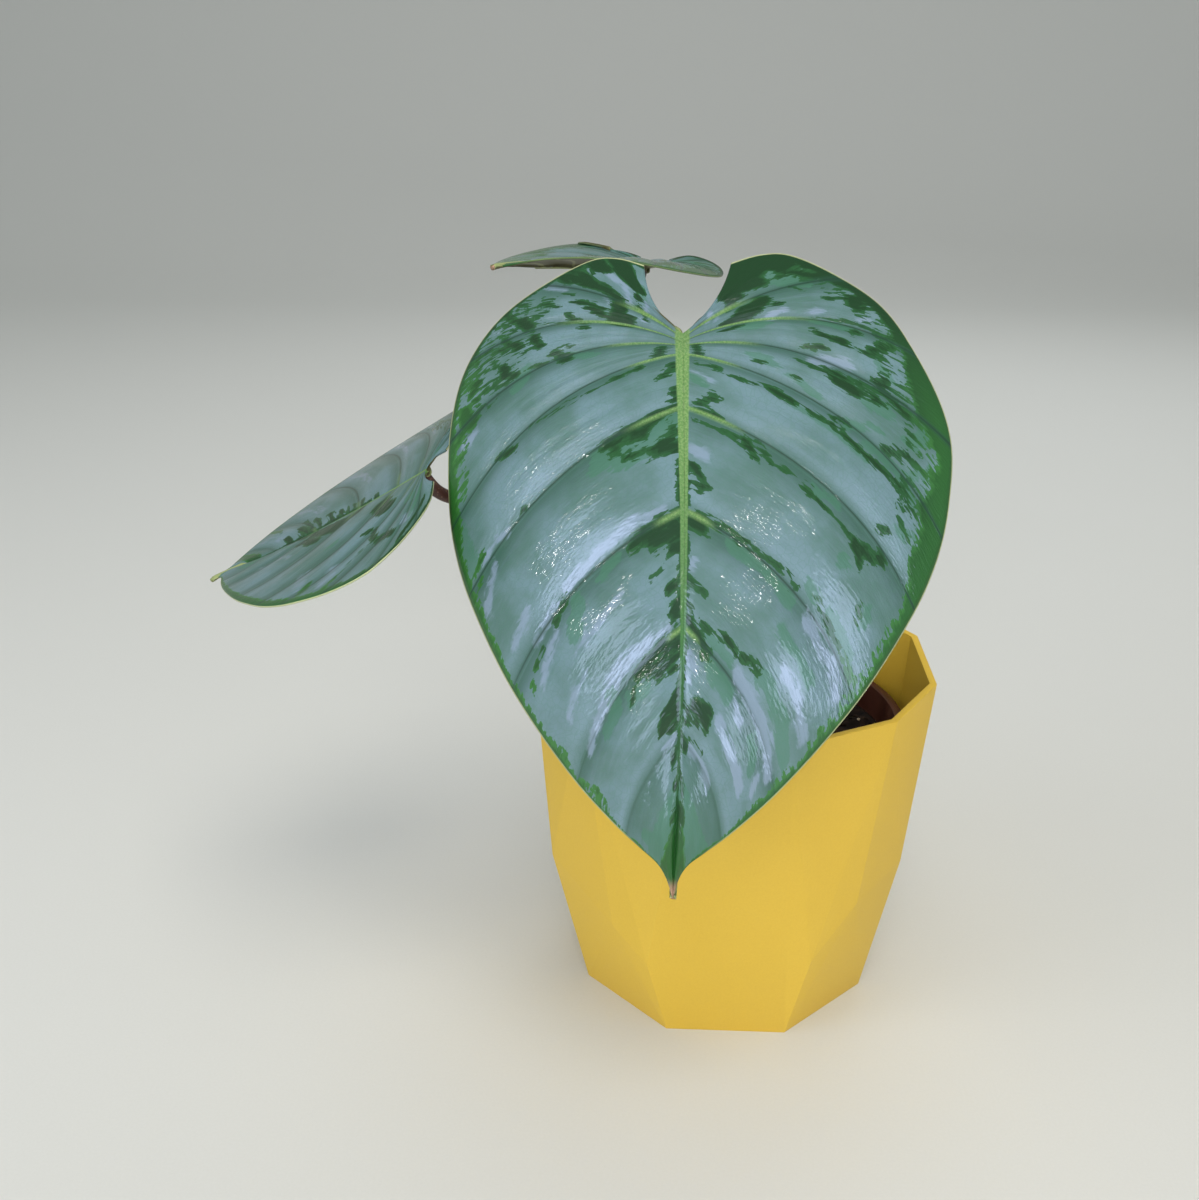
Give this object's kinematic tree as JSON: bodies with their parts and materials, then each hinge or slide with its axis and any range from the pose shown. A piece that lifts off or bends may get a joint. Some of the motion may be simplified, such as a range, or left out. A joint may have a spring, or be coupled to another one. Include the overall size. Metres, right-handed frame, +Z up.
{
  "type": "potted philodendron sodiroi",
  "caption": "Silver-leaved aroid house plant: heart-shaped blades on thin stalks from a short stem in soil, in a round nursery pot inside a faceted yellow cover pot.",
  "frame": {"origin": "centre of the planter's underside", "axes": "+Z up; -Y out of the planter's front facet, the side that the large leaf faces; +X to the right seen from the front"},
  "size_m": [0.2836, 0.2021, 0.2964],
  "materials": {
    "planter": "smooth matt, ochre yellow",
    "nursery_pot": "thin satin plastic, red-brown",
    "soil": "dark crumbly potting mix with a few pale grains",
    "stem": "green stem with brown leaf scars",
    "petiole": "dark red-brown stalk, satin",
    "blade": "silver with dark green markings, slightly glossy"
  },
  "bodies": {
    "root": {"planter": "planter", "nursery_pot": "nursery_pot", "soil": "soil", "stem": "stem", "petiole_large": "petiole", "blade_large": "blade", "petiole_left": "petiole", "blade_left": "blade", "petiole_back": "petiole", "blade_back": "blade"}
  },
  "joints": []
}
